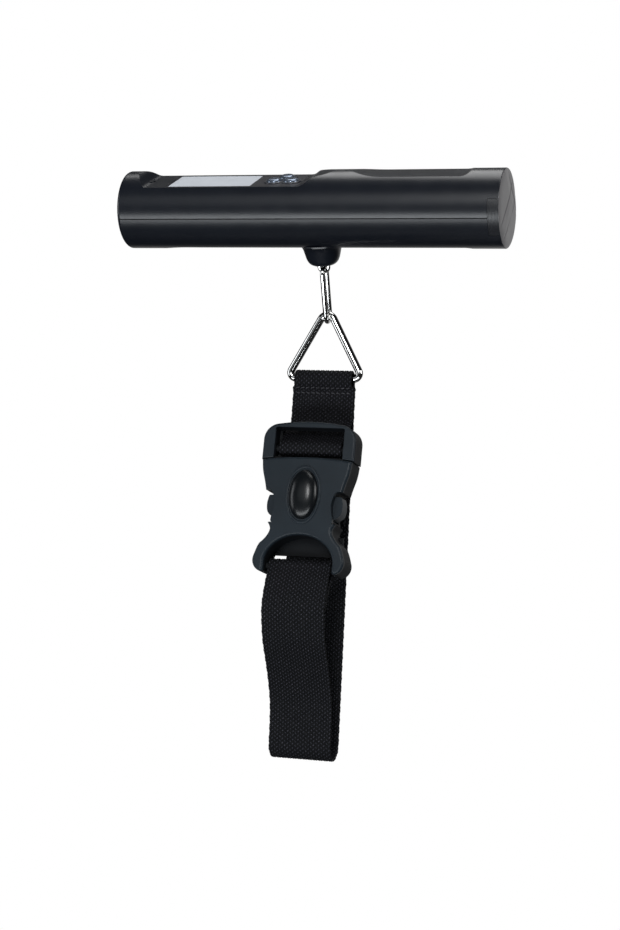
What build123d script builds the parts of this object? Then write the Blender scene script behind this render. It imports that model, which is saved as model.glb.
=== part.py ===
from build123d import *

import os
from math import cos, radians, sin, tan

# Digital luggage scale: a round handle with a display, and a webbing strap with a side-release buckle.
# Millimetres. X runs along the handle and +Z is up, as the scale hangs. The origin is on the handle's axis.
# The handle is turned back by ROLL, so that its display faces a reader in front of it, at -Y.

os.makedirs("parts", exist_ok=True)

# ---------------------------------------------------------------- driving dimensions
ROLL = 24.0  # how far the handle is turned back about its axis, degrees
BODY_R = 15.25
BODY_L = 153.2
WALL = 1.8
BODY_X = BODY_L / 2
BORE_R = BODY_R - WALL
DECK_H = 11.36  # height of the display deck above the handle's axis
DECK_LEFT = -65.0
DECK_RIGHT = -2.5
PANEL_T = 0.8
STRAP_X = 2.4  # the hanging gear's place along the handle
WEB_W = 25.4  # 1 inch webbing
WEB_T = 1.3

BACK = Vector(0, cos(radians(ROLL)), sin(radians(ROLL)))  # across the handle, away from the reader
FACE = Vector(0, -sin(radians(ROLL)), cos(radians(ROLL)))  # straight out of the display


# ---------------------------------------------------------------- planes and profiles
def deck(height=0.0):
    """Parallel to the display; x along the handle, y towards the back."""
    return Plane(origin=FACE * height, x_dir=(1, 0, 0), z_dir=FACE)


def side(offset=0.0):
    """Along the handle, seen from the front; y up through the display."""
    return Plane(origin=BACK * offset, x_dir=(1, 0, 0), z_dir=-BACK)


def cross(x):
    """Square to the handle at x; x towards the back, y up through the display."""
    return Plane(origin=(x, 0, 0), x_dir=BACK, z_dir=(1, 0, 0))


def disc(plane, radius, u=0.0, v=0.0):
    with BuildSketch(plane) as sketch:
        with Locations((u, v)):
            Circle(radius)
    return sketch.sketch


def discs(plane, radius, places):
    with BuildSketch(plane) as sketch:
        with Locations(*places):
            Circle(radius)
    return sketch.sketch


def plate(plane, x0, x1, y0, y1, corner=0.0):
    with BuildSketch(plane) as sketch:
        with Locations(((x0 + x1) / 2, (y0 + y1) / 2)):
            if corner:
                RectangleRounded(x1 - x0, y1 - y0, corner)
            else:
                Rectangle(x1 - x0, y1 - y0)
    return sketch.sketch


def deck_profile(drop=0.0):
    """Side view of what is cut away above the display deck, lowered by drop."""
    top = BODY_R + 3
    with BuildSketch(side()) as sketch:
        with BuildLine():
            scoop = Spline((-71.5, BODY_R + 0.2 - drop), (-68.2, DECK_H + 2.1 - drop),
                           (DECK_LEFT, DECK_H - drop), tangents=((1, -0.25), (1, 0)))
            flat = Line(scoop @ 1, (DECK_RIGHT, DECK_H - drop))
            ramp = Spline(flat @ 1, (1.6, DECK_H + 2.2 - drop), (6.0, BODY_R - 0.72 - drop),
                          (11.5, BODY_R + 0.25 - drop), tangents=((1, 0.12), (1, 0.1)))
            Polyline(ramp @ 1, (11.5, top), (-71.5, top), scoop @ 0)
        make_face()
    return sketch.sketch


def shallow_flat(x0, x1, level, sign):
    """Side view of a long shallow flat ground along the handle, with eased ends."""
    edge = BODY_R + 0.1
    with BuildSketch(side()) as sketch:
        with BuildLine():
            ease = Spline((x0, sign * edge), (x0 + 9, sign * (level + 0.25)), (x0 + 20, sign * level),
                          tangents=((1, sign * -0.12), (1, 0)))
            run = Line(ease @ 1, (x1 - 4, sign * level))
            lift = Spline(run @ 1, (x1, sign * edge), tangents=((1, 0), (1, sign * 0.7)))
            Polyline(lift @ 1, (x1, sign * (edge + 3)), (x0, sign * (edge + 3)), ease @ 0)
        make_face()
    return sketch.sketch


BUTTON_X = -11.0
BUTTON_ORBIT = 3.95
BUTTON_R = 3.05
BUTTON_PLACES = {
    name: (BUTTON_X + BUTTON_ORBIT * cos(radians(turn)), BUTTON_ORBIT * sin(radians(turn)))
    for name, turn in (("power_button", 210), ("unit_button", 90), ("tare_button", 330))
}


def trefoil(plane, margin):
    """Outline round the three buttons, larger than each by margin."""
    with BuildSketch(plane) as sketch:
        with Locations(*BUTTON_PLACES.values()):
            Circle(BUTTON_R + margin)
        with Locations((BUTTON_X, 0)):
            Circle(BUTTON_ORBIT)
    return sketch.sketch


def save(piece, name):
    piece.part.label = name
    export_step(piece.part, f"parts/{name}.step")


# ---------------------------------------------------------------- handle casing
FLAT_LEVEL = 13.9  # grip flat on top
KEEL_LEVEL = 13.6  # flats on the underside
BORE_TOP = 12.15
BORE_FLOOR = -11.85
END_WALL_X = -BODY_X + WALL
NOTCH_X = 72.25  # where the battery cap's grip tabs start
TAB_HALF = 28.0  # degrees to each side of the front
CASING_SCREWS = [(-67.5, 0.0), (-19.6, 0.0)]
BOARD_H = 3.0
BOARD_T = 1.6
BOARD_SCREWS = [(-60.0, -8.0), (-60.0, 8.0), (0.6, -7.4), (0.6, 7.4)]
CELL_X = STRAP_X
CELL_HALF = 18.0  # half length of the load cell
CELL_TOP = -5.0
CELL_T = 3.0
CELL_SCREWS = [(CELL_X - 15.0, 0.0), (CELL_X + 15.0, 0.0)]
LENS = (-56.4, -22.4, -8.5, 8.5)  # x0, x1, y0, y1 of the clear window
WINDOW = (-55.15, -23.65, -7.3, 7.3)
BOSS_R = 7.3
BOSS_END = -22.2
EYE_HOLE_R = 3.2

with BuildPart() as bore:
    extrude(disc(cross(END_WALL_X), BORE_R), amount=BODY_L)
    extrude(plate(deck(BORE_TOP), -BODY_X, BODY_X * 2, -BODY_R, BODY_R), amount=10, mode=Mode.SUBTRACT)
    extrude(plate(deck(BORE_FLOOR), -BODY_X, BODY_X * 2, -BODY_R, BODY_R), amount=-10, mode=Mode.SUBTRACT)
    extrude(deck_profile(WALL), amount=BODY_R + 1, both=True, mode=Mode.SUBTRACT)
    extrude(disc(cross(NOTCH_X), BORE_R), amount=BODY_L)


def facing_sectors(plane, inner, outer, half_angle):
    """Two sectors of a ring, at the handle's front and back."""
    reach = BODY_R * 2
    rise = reach * tan(radians(half_angle))
    with BuildSketch(plane) as sketch:
        with BuildLine():
            Polyline((0, 0), (reach, rise), (reach, -rise), (0, 0))
        make_face()
        mirror(about=Plane.YZ)
        Circle(outer, mode=Mode.INTERSECT)
        Circle(inner, mode=Mode.SUBTRACT)
    return sketch.sketch


with BuildPart() as shell:
    extrude(disc(cross(-BODY_X), BODY_R), amount=BODY_L)
    fillet(faces().sort_by(Axis.X)[0].edges(), 1.5)
    fillet(faces().sort_by(Axis.X)[-1].edges(), 0.3)
    extrude(deck_profile(), amount=BODY_R + 1, both=True, mode=Mode.SUBTRACT)
    extrude(shallow_flat(16.0, 64.5, FLAT_LEVEL, 1), amount=BODY_R + 1, both=True, mode=Mode.SUBTRACT)
    extrude(shallow_flat(-66.0, 65.0, KEEL_LEVEL, -1), amount=BODY_R + 1, both=True, mode=Mode.SUBTRACT)
    add(bore.part, mode=Mode.SUBTRACT)
    extrude(facing_sectors(cross(NOTCH_X), BORE_R - 1, BODY_R + 1, TAB_HALF), amount=10, mode=Mode.SUBTRACT)

with BuildPart() as upper_casing:
    add(shell.part)
    split(bisect_by=deck(0.03), keep=Keep.TOP)
    # standoffs for the circuit board, and pillars for the casing screws
    extrude(discs(deck(BOARD_H + BOARD_T), 2.3, BOARD_SCREWS), amount=5.6)
    extrude(discs(deck(0.03), 2.1, CASING_SCREWS[1:]), amount=10.0)
    extrude(discs(deck(0.03), 2.6, CASING_SCREWS[:1]), amount=11.8)
    # ribs that keep the cells down
    for rib in (-5.4, 5.4):
        extrude(plate(deck(5.7), 28.0, 70.0, rib - 0.6, rib + 0.6), amount=6.6)
    # recess for the display panel, and its openings
    extrude(plate(deck(DECK_H - PANEL_T), -57.2, -2.9, -9.3, 9.3, 1.2), amount=4, mode=Mode.SUBTRACT)
    extrude(plate(deck(DECK_H - 3), *WINDOW), amount=4, mode=Mode.SUBTRACT)
    extrude(discs(deck(DECK_H - 3), BUTTON_R + 0.1, BUTTON_PLACES.values()), amount=4, mode=Mode.SUBTRACT)
    extrude(discs(deck(0), 0.95, CASING_SCREWS), amount=8.0, mode=Mode.SUBTRACT)
    extrude(discs(deck(BOARD_H), 0.75, BOARD_SCREWS), amount=6.0, mode=Mode.SUBTRACT)
save(upper_casing, "upper_casing")

with BuildSketch(side()) as boss_profile:
    with BuildLine():
        flank = Spline((STRAP_X + BOSS_R + 1.6, -13.6), (STRAP_X + BOSS_R + 0.1, -16.2),
                       (STRAP_X + BOSS_R - 0.5, -18.6), (STRAP_X + 6.0, -20.6))
        toe = Spline(flank @ 1, (STRAP_X + 4.4, BOSS_END + 0.25), (STRAP_X + 2.6, BOSS_END),
                     tangents=(flank % 1, (-1, 0)))
        Polyline(toe @ 1, (STRAP_X, BOSS_END), (STRAP_X, -13.0), (STRAP_X + BOSS_R + 1.6, -13.0), flank @ 0)
    make_face()

with BuildPart() as lower_casing:
    add(shell.part)
    split(bisect_by=deck(-0.03), keep=Keep.BOTTOM)
    revolve(boss_profile.sketch, axis=Axis((STRAP_X, 0, 0), FACE))
    add(bore.part, mode=Mode.SUBTRACT)
    # pillars for the casing screws and the load cell, and rails for the battery tray
    extrude(discs(deck(-12.5), 2.8, CASING_SCREWS), amount=12.47)
    extrude(discs(deck(-12.5), 3.2, CELL_SCREWS), amount=12.5 + CELL_TOP - CELL_T)
    for rail in (-7.0, 7.0):
        extrude(plate(deck(-12.2), 24.0, 72.0, rail - 0.8, rail + 0.8), amount=12.2 - 6.35)
    # screw holes, heads sunk from below, and the hole that the hanging eye passes
    extrude(discs(deck(-14), 1.3, CASING_SCREWS), amount=14, mode=Mode.SUBTRACT)
    extrude(discs(deck(-BODY_R), 2.5, CASING_SCREWS), amount=6.0, mode=Mode.SUBTRACT)
    extrude(discs(deck(-13), 1.2, CELL_SCREWS), amount=6, mode=Mode.SUBTRACT)
    extrude(disc(deck(BOSS_END - 1), EYE_HOLE_R, STRAP_X), amount=14, mode=Mode.SUBTRACT)
save(lower_casing, "lower_casing")

# ---------------------------------------------------------------- display and buttons
with BuildPart() as display_panel:
    extrude(plate(deck(DECK_H - PANEL_T), -57.05, -3.05, -9.15, 9.15, 1.1), amount=PANEL_T)
    extrude(plate(deck(DECK_H - 2), *LENS, 0.8), amount=4, mode=Mode.SUBTRACT)
    extrude(trefoil(deck(DECK_H - 2), 1.0), amount=4, mode=Mode.SUBTRACT)
save(display_panel, "display_panel")

with BuildPart() as display_lens:
    extrude(plate(deck(DECK_H - PANEL_T), LENS[0] + 0.05, LENS[1] - 0.05, LENS[2] + 0.05, LENS[3] - 0.05, 0.75),
            amount=PANEL_T - 0.05)
save(display_lens, "display_lens")

LCD_TOP = DECK_H - WALL - 0.06
with BuildPart() as lcd_module:
    extrude(plate(deck(LCD_TOP - 2.2), -56.2, -22.6, -8.3, 8.3), amount=1.1)
    extrude(plate(deck(LCD_TOP - 1.1), -56.2, -22.6, -7.4, 8.3), amount=1.1)
save(lcd_module, "lcd_module")

with BuildPart() as lcd_connectors:
    for edge in (-7.3, 7.3):
        extrude(plate(deck(BOARD_H + BOARD_T), -54.5, -24.5, edge - 0.8, edge + 0.8),
                amount=LCD_TOP - 2.2 - BOARD_H - BOARD_T)
save(lcd_connectors, "lcd_connectors")

with BuildPart() as button_bezel:
    extrude(trefoil(deck(DECK_H - PANEL_T), 0.9), amount=PANEL_T + 0.45)
    fillet(faces().sort_by(Axis((0, 0, 0), FACE))[-1].edges(), 0.35)
    extrude(discs(deck(DECK_H - 2), BUTTON_R + 0.1, BUTTON_PLACES.values()), amount=4, mode=Mode.SUBTRACT)
save(button_bezel, "button_bezel")

STEM_LOW = 8.1
BUTTON_TRAVEL = 0.6
FLANGE_TOP = DECK_H - WALL - 0.1
for name, place in BUTTON_PLACES.items():
    with BuildPart() as button:
        extrude(disc(deck(STEM_LOW), 1.4, *place), amount=FLANGE_TOP - STEM_LOW)
        extrude(disc(deck(FLANGE_TOP - 0.6), BUTTON_R + 0.3, *place), amount=0.6)
        extrude(disc(deck(FLANGE_TOP), BUTTON_R, *place), amount=DECK_H + 1.35 - FLANGE_TOP)
        fillet(faces().sort_by(Axis((0, 0, 0), FACE))[-1].edges(), 1.2)
    save(button, name)

SWITCH_TOP = BOARD_H + BOARD_T + 2.0
with BuildPart() as tact_switches:
    for place in BUTTON_PLACES.values():
        extrude(plate(deck(BOARD_H + BOARD_T), place[0] - 1.9, place[0] + 1.9, place[1] - 1.9, place[1] + 1.9, 0.3),
                amount=1.5)
        extrude(disc(deck(BOARD_H + BOARD_T + 1.5), 1.0, *place), amount=0.5)
save(tact_switches, "tact_switches")

with BuildPart() as button_pad:
    extrude(plate(deck(SWITCH_TOP), -16.6, -3.6, -6.0, 6.6, 1.5), amount=0.5)
    extrude(discs(deck(SWITCH_TOP + 0.5), 1.8, BUTTON_PLACES.values()),
            amount=STEM_LOW - BUTTON_TRAVEL - 0.05 - SWITCH_TOP - 0.5)
    extrude(disc(deck(0), 2.9, *CASING_SCREWS[1]), amount=14, mode=Mode.SUBTRACT)
save(button_pad, "button_pad")

with BuildPart() as circuit_board:
    extrude(plate(deck(BOARD_H), -63.0, 3.4, -11.4, 11.4, 1.5), amount=BOARD_T)
    extrude(discs(deck(0), 0.95, BOARD_SCREWS), amount=6, mode=Mode.SUBTRACT)
    extrude(disc(deck(0), 3.0, *CASING_SCREWS[1]), amount=6, mode=Mode.SUBTRACT)
save(circuit_board, "circuit_board")

with BuildPart() as controller_chip:
    extrude(plate(deck(BOARD_H), -46.0, -36.0, -5.0, 5.0, 1.0), amount=-1.4)
    fillet(faces().sort_by(Axis((0, 0, 0), FACE))[0].edges(), 0.9)
save(controller_chip, "controller_chip")


def pan_screw(plane, head_r, head_t, shank_r, length, places, socket=0.45):
    """Cross-recessed screws: heads on the plane, shanks along its normal."""
    extrude(discs(plane, shank_r, places), amount=length)
    extrude(discs(plane, head_r, places), amount=-head_t)
    recess = Plane(origin=plane.origin - plane.z_dir * head_t, x_dir=plane.x_dir, z_dir=plane.z_dir)
    for u, v in places:
        arm = head_r * 0.55
        cut = plate(recess, u - arm, u + arm, v - socket / 2, v + socket / 2)
        extrude(cut, amount=head_t * 0.6, mode=Mode.SUBTRACT)
        cut = plate(recess, u - socket / 2, u + socket / 2, v - arm, v + arm)
        extrude(cut, amount=head_t * 0.6, mode=Mode.SUBTRACT)


with BuildPart() as board_screws:
    pan_screw(deck(BOARD_H), 1.5, 0.9, 0.7, 4.6, BOARD_SCREWS)
save(board_screws, "board_screws")

with BuildPart() as casing_screws:
    pan_screw(deck(-BODY_R + 6.0), 2.3, 1.6, 0.9, 15.0, CASING_SCREWS)
save(casing_screws, "casing_screws")

# ---------------------------------------------------------------- load cell and hanging eye
EYE_WIRE = 0.75
EYE_LOW = -25.05  # wire centre at the bottom of the eye
EYE_HALF = 1.85
STEM_R = 1.95
with BuildPart() as load_cell:
    extrude(plate(deck(CELL_TOP), CELL_X - CELL_HALF, CELL_X + CELL_HALF, -6.5, 6.5, 1.0), amount=-CELL_T)
    extrude(discs(deck(CELL_TOP), 1.6, CELL_SCREWS), amount=-CELL_T, mode=Mode.SUBTRACT)
    extrude(disc(deck(CELL_TOP), STEM_R + 0.05, STRAP_X), amount=-CELL_T, mode=Mode.SUBTRACT)
    # a U-shaped slot frees the tongue that carries the eye
    for slot in (-4.3, 4.3):
        extrude(plate(deck(CELL_TOP), CELL_X - 9.0, CELL_X + 8.0, slot - 0.5, slot + 0.5), amount=-CELL_T,
                mode=Mode.SUBTRACT)
    extrude(plate(deck(CELL_TOP), CELL_X + 7.0, CELL_X + 8.0, -4.8, 4.8), amount=-CELL_T, mode=Mode.SUBTRACT)
save(load_cell, "load_cell")

with BuildPart() as strain_gauges:
    for level, out in ((CELL_TOP, 0.15), (CELL_TOP - CELL_T, -0.15)):
        extrude(plate(deck(level), CELL_X - 8.4, CELL_X - 4.6, -2.4, 2.4, 0.3), amount=out)
save(strain_gauges, "strain_gauges")

with BuildPart() as load_cell_screws:
    down = Plane(origin=FACE * CELL_TOP, x_dir=(1, 0, 0), z_dir=-FACE)
    pan_screw(down, 2.6, 1.8, 1.15, 7.2, CELL_SCREWS)
save(load_cell_screws, "load_cell_screws")

EYE_TOP = EYE_LOW + 2 * EYE_HALF + 2.4
with BuildPart() as hanging_eye:
    extrude(disc(deck(EYE_TOP - 0.3), STEM_R, STRAP_X), amount=-2.3 - EYE_TOP)
    with BuildLine(side()):
        Polyline((STRAP_X, EYE_TOP), (STRAP_X + EYE_HALF, EYE_TOP), (STRAP_X + EYE_HALF, EYE_LOW),
                 (STRAP_X - EYE_HALF, EYE_LOW), (STRAP_X - EYE_HALF, EYE_TOP), close=True)
        fillet(vertices().filter_by_position(Axis((0, 0, 0), FACE), EYE_LOW - 0.1, EYE_LOW + 0.1), EYE_HALF - 0.01)
        fillet(vertices().filter_by_position(Axis((0, 0, 0), FACE), EYE_TOP - 0.1, EYE_TOP + 0.1), 1.0)
    with BuildSketch(Plane(origin=Vector(STRAP_X + EYE_HALF, 0, 0) + FACE * (EYE_TOP - 1.5), x_dir=(1, 0, 0),
                           z_dir=FACE)):
        Circle(EYE_WIRE)
    sweep()
save(hanging_eye, "hanging_eye")

with BuildPart() as eye_washer:
    extrude(disc(deck(CELL_TOP), 3.9, STRAP_X), amount=0.6)
    extrude(disc(deck(CELL_TOP), STEM_R + 0.05, STRAP_X), amount=0.6, mode=Mode.SUBTRACT)
save(eye_washer, "eye_washer")

with BuildPart() as eye_nut:
    with BuildSketch(deck(CELL_TOP + 0.6)):
        with Locations((STRAP_X, 0)):
            RegularPolygon(3.5, 6, major_radius=False)
            Circle(STEM_R + 0.02, mode=Mode.SUBTRACT)
    extrude(amount=1.9)
save(eye_nut, "eye_nut")

# ---------------------------------------------------------------- battery drawer
CELL_R = 5.2
CELL_V = 5.35  # each cell's offset from the middle
BAY_LEFT = 23.8
BAY_RIGHT = 71.3
CELL_LEN = 43.6
NUB_T = 0.9

with BuildPart() as battery_cap:
    extrude(disc(cross(NOTCH_X + 0.15), BORE_R - 0.15), amount=BODY_X - NOTCH_X - 0.15 - 1.0)
    extrude(disc(cross(BODY_X - 1.2), BORE_R - 0.15), amount=1.2)
    extrude(facing_sectors(cross(NOTCH_X + 0.15), BORE_R - 0.3, BODY_R - 0.02, TAB_HALF - 0.45),
            amount=BODY_X - NOTCH_X - 0.15)
    with BuildSketch(cross(BODY_X - 0.9)):
        Circle(BORE_R + 0.35)
        Circle(BORE_R - 0.3, mode=Mode.SUBTRACT)
    extrude(amount=2, mode=Mode.SUBTRACT)
    # slightly domed outer face
    with BuildSketch(side()):
        with BuildLine():
            rim = BORE_R - 0.3
            rise = 0.5
            Polyline((BODY_X - 0.01, rim), (BODY_X - 0.01, 0), (BODY_X + rise, 0))
            Spline((BODY_X + rise, 0), (BODY_X + rise * 0.75, rim / 2), (BODY_X - 0.01, rim),
                   tangents=((0, 1), (-0.06, 1)))
        make_face()
    revolve(axis=Axis.X)
save(battery_cap, "battery_cap")

with BuildPart() as battery_tray:
    extrude(plate(cross(BAY_LEFT + 1.0), -11.6, 11.6, -6.2, 0.0), amount=BAY_RIGHT - BAY_LEFT - 1.0)
    extrude(discs(cross(BAY_LEFT), CELL_R + 0.1, [(-CELL_V, 0), (CELL_V, 0)]), amount=BAY_RIGHT - BAY_LEFT,
            mode=Mode.SUBTRACT)
    extrude(plate(cross(BAY_RIGHT), -11.6, 11.6, -6.2, -3.7), amount=0.5)
    extrude(plate(cross(BAY_RIGHT + 0.4), -11.4, 11.4, -6.2, 5.4), amount=NOTCH_X + 0.15 - BAY_RIGHT - 0.4)
save(battery_tray, "battery_tray")

CELLS = {"battery_cell_front": (-CELL_V, BAY_LEFT, 1), "battery_cell_back": (CELL_V, BAY_RIGHT, -1)}
for name, (v, nub_x, way) in CELLS.items():
    # the nub of each cell touches the flat contact at its end of the bay
    with BuildPart() as cell:
        extrude(disc(cross(nub_x + way * NUB_T), CELL_R, v), amount=way * CELL_LEN)
        fillet(edges().filter_by(GeomType.CIRCLE), 0.35)
        extrude(disc(cross(nub_x), 1.9, v), amount=way * (NUB_T + 0.2))
    save(cell, name)

with BuildPart() as contact_bridge:
    extrude(plate(cross(BAY_RIGHT), -9.6, 9.6, -3.6, 3.6, 0.8), amount=0.4)
    spring_gap = BAY_RIGHT - BAY_LEFT - NUB_T - CELL_LEN
    for turn in range(2):
        x = BAY_RIGHT - 0.55 - turn * 1.25
        with BuildSketch(cross(x)):
            with Locations((-CELL_V, 0)):
                Circle(3.1 - 0.5 * turn)
                Circle(2.5 - 0.5 * turn, mode=Mode.SUBTRACT)
        extrude(amount=0.56)
    extrude(plate(cross(BAY_RIGHT - spring_gap + 0.5), -CELL_V - 0.35, -CELL_V + 0.35, -3.0, 3.0),
            amount=spring_gap - 0.4)
save(contact_bridge, "contact_bridge")

with BuildPart() as contact_carrier:
    extrude(disc(cross(BAY_LEFT - 1.8), BORE_R - 0.05), amount=1.4)
    extrude(plate(deck(BORE_TOP - 0.05), 0, BODY_X, -BODY_R, BODY_R), amount=10, mode=Mode.SUBTRACT)
    extrude(plate(deck(BORE_FLOOR + 0.05), 0, BODY_X, -BODY_R, BODY_R), amount=-10, mode=Mode.SUBTRACT)
save(contact_carrier, "contact_carrier")

with BuildPart() as battery_contacts:
    for v in (-CELL_V, CELL_V):
        extrude(plate(cross(BAY_LEFT - 0.4), v - 4.2, v + 4.2, -4.2, 4.2, 0.8), amount=0.4)
    for turn in range(2):
        x = BAY_LEFT + turn * 1.25
        with BuildSketch(cross(x)):
            with Locations((CELL_V, 0)):
                Circle(3.1 - 0.5 * turn)
                Circle(2.5 - 0.5 * turn, mode=Mode.SUBTRACT)
        extrude(amount=0.56)
    extrude(plate(cross(BAY_LEFT), CELL_V - 0.35, CELL_V + 0.35, -3.0, 3.0), amount=spring_gap - 0.5)
save(battery_contacts, "battery_contacts")

# ---------------------------------------------------------------- link and triangle ring
LINK_WIRE = 0.95
LINK_HALF = 2.8
LINK_TOP = EYE_LOW + EYE_WIRE + LINK_WIRE + 0.05  # wire centres, measured down the handle's own axis
LINK_LOW = -45.5
RING_WIRE = 1.5
RING_APEX = LINK_LOW + LINK_WIRE + RING_WIRE + 0.1
RING_Y = RING_APEX * -sin(radians(ROLL))
RING_TOP = RING_APEX * cos(radians(ROLL))
RING_BAR = -64.4
RING_HALF = 14.1
BASE_CORNER_R = 2.2
APEX_R = 3.0

with BuildPart() as hanging_link:
    with BuildLine(cross(STRAP_X)):
        right = Line((LINK_HALF, (LINK_TOP + LINK_LOW) / 2), (LINK_HALF, LINK_TOP - LINK_HALF))
        top = ThreePointArc(right @ 1, (0, LINK_TOP), (-LINK_HALF, LINK_TOP - LINK_HALF))
        left = Line(top @ 1, (-LINK_HALF, LINK_LOW + LINK_HALF))
        low = ThreePointArc(left @ 1, (0, LINK_LOW), (LINK_HALF, LINK_LOW + LINK_HALF))
        Line(low @ 1, right @ 0)
    with BuildSketch(Plane(origin=Vector(STRAP_X, 0, 0) + BACK * LINK_HALF + FACE * ((LINK_TOP + LINK_LOW) / 2),
                           x_dir=(1, 0, 0), z_dir=FACE)):
        Circle(LINK_WIRE)
    sweep()
save(hanging_link, "hanging_link")

base_angle = 61.15  # between the ring's base and its legs
vertex_x = RING_HALF + BASE_CORNER_R * (1 / tan(radians(base_angle / 2)) - 1)
apex_vertex = RING_TOP + APEX_R * (1 / cos(radians(base_angle)) - 1)
with BuildPart() as triangle_ring:
    with BuildLine(Plane.XZ.offset(-RING_Y)):
        Polyline((STRAP_X, RING_BAR), (STRAP_X - vertex_x, RING_BAR), (STRAP_X, apex_vertex),
                 (STRAP_X + vertex_x, RING_BAR), close=True)
        fillet(vertices().sort_by(Axis.Z)[-1], APEX_R)
        fillet([vertices().sort_by(Axis.X)[0], vertices().sort_by(Axis.X)[-1]], BASE_CORNER_R)
    with BuildSketch(Plane(origin=(STRAP_X, RING_Y, RING_BAR), z_dir=(-1, 0, 0))):
        Circle(RING_WIRE)
    sweep()
save(triangle_ring, "triangle_ring")

# ---------------------------------------------------------------- buckle
BUCKLE_TILT = 8.6  # the buckle's lower end leans forward, degrees
BUCKLE_UP = Vector(0, sin(radians(BUCKLE_TILT)), cos(radians(BUCKLE_TILT)))
BUCKLE_OUT = Vector(0, -cos(radians(BUCKLE_TILT)), sin(radians(BUCKLE_TILT)))
BUCKLE_MID = Vector(STRAP_X, 2.8, -112.5)
SOCKET_DEPTH = 6.0  # half the socket's thickness
MOUTH_T = 14.1  # the mouth's edge at the sides, measured up the buckle
MOUTH_RISE = 1.3
FRAME_BAR_T = 19.2
FRAME_BAR_OUT = 0.5
FRAME_BAR_R = 1.6
FRAME_HALF = 18.7
FRAME_DEPTH = 5.0
FRAME_TOP = 29.6
FRAME_SHOULDER_T = 22.2  # where the frame's upper corners begin
WINDOW_TOP_T = 27.2
WINDOW_HALF = 14.0  # the opening the webbing passes
GUIDE_HALF = 13.0  # its narrower part at the back
RAIL_T = 15.6  # top of the rail that joins the arms
SOCKET_BAR_T = -26.9
SOCKET_BAR_R = 1.6
CAVITY = 3.5  # half the socket's inside depth
LOBE_X = 13.9  # inner faces of the socket's two ends
ARCH_T = -26.2
ARCH_RISE = 11.1
BACK_PLATE = 1.6
BACK_PLATE_T = -22.0  # the socket's back reaches lower than its front
ARM_PIVOT = (10.3, 12.4)


def buckle(out=0.0):
    """The buckle's own face plane, this far in front of its middle; y up the buckle."""
    return Plane(origin=BUCKLE_MID + BUCKLE_OUT * out, x_dir=(1, 0, 0), z_dir=BUCKLE_OUT)


def buckle_point(x, t, out=0.0):
    return BUCKLE_MID + Vector(x, 0, 0) + BUCKLE_UP * t + BUCKLE_OUT * out


def buckle_rod(t, out, radius, half):
    """A round bar across the buckle."""
    rod_plane = Plane(origin=buckle_point(-half, t, out), x_dir=BUCKLE_OUT, z_dir=(1, 0, 0))
    extrude(disc(rod_plane, radius), amount=2 * half)


def round_over(radius):
    """Round the outer edges of the foremost face."""
    fillet(faces().sort_by(Axis((0, 0, 0), BUCKLE_OUT))[-1].outer_wire().edges(), radius)


with BuildPart() as buckle_frame:
    with BuildSketch(buckle(-FRAME_DEPTH)):
        with BuildLine():
            low = ThreePointArc((-FRAME_HALF, MOUTH_T + 0.12), (0, MOUTH_T + MOUTH_RISE + 0.12),
                                (FRAME_HALF, MOUTH_T + 0.12))
            right = Line(low @ 1, (FRAME_HALF, FRAME_SHOULDER_T))
            corner = JernArc(start=right @ 1, tangent=(0, 1), radius=6.4, arc_size=82)
            top = ThreePointArc(corner @ 1, (0, FRAME_TOP), (-(corner @ 1).X, (corner @ 1).Y))
            left = ThreePointArc(top @ 1, (-(corner @ 0.5).X, (corner @ 0.5).Y), (-FRAME_HALF, FRAME_SHOULDER_T))
            Line(left @ 1, low @ 0)
        make_face()
    extrude(amount=2 * FRAME_DEPTH)
    round_over(0.9)
    extrude(plate(buckle(-1.0), -WINDOW_HALF, WINDOW_HALF, MOUTH_T - 3, WINDOW_TOP_T, 0.8),
            amount=FRAME_DEPTH + 2, mode=Mode.SUBTRACT)
    # the posts are thicker at the back, which centres the webbing, and the top bar is thinner, where it leaves
    extrude(plate(buckle(-FRAME_DEPTH - 1), -GUIDE_HALF, GUIDE_HALF, MOUTH_T - 3, WINDOW_TOP_T, 0.8),
            amount=FRAME_DEPTH + 1, mode=Mode.SUBTRACT)
    extrude(plate(buckle(-FRAME_DEPTH - 1), -GUIDE_HALF, GUIDE_HALF, WINDOW_TOP_T - 1, FRAME_TOP + 1), amount=4.0,
            mode=Mode.SUBTRACT)
    extrude(plate(buckle(-3.2), -WINDOW_HALF - 0.5, WINDOW_HALF + 0.5, MOUTH_T + 0.9, RAIL_T), amount=6.4)
    extrude(plate(buckle(-3.2), -13.7, 13.7, MOUTH_T, RAIL_T), amount=6.4)
    buckle_rod(FRAME_BAR_T, FRAME_BAR_OUT, FRAME_BAR_R, WINDOW_HALF + 0.5)
    # guide tongue between the arms
    with BuildSketch(buckle(-2.6)):
        with BuildLine():
            Polyline((-4.4, MOUTH_T + 0.5), (-4.4, -4.0), (-2.0, -8.5), (2.0, -8.5), (4.4, -4.0),
                     (4.4, MOUTH_T + 0.5), close=True)
        make_face()
    extrude(amount=5.2)
save(buckle_frame, "buckle_frame")


def arm_outline(plane):
    """The right-hand release arm: root, blade, catch and thumb tab."""
    with BuildSketch(plane) as sketch:
        with BuildLine():
            blade = Polyline((11.5, 12.4), (9.1, 12.4), (8.9, 0.0), (8.9, -8.6))
            toe = Spline(blade @ 1, (10.3, -9.7), (11.8, -8.7), tangents=((0.1, -1), (1, 0.7)))
            tab = Spline(toe @ 1, (14.8, -6.2), (15.3, -3.0), (14.6, 0.4), tangents=((1, 0.7), (-0.3, 1)))
            Polyline(tab @ 1, (11.7, 0.7), (11.4, 4.0), blade @ 0)
        make_face()
        with Locations(ARM_PIVOT):
            Circle(1.5)
    return sketch.sketch


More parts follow.
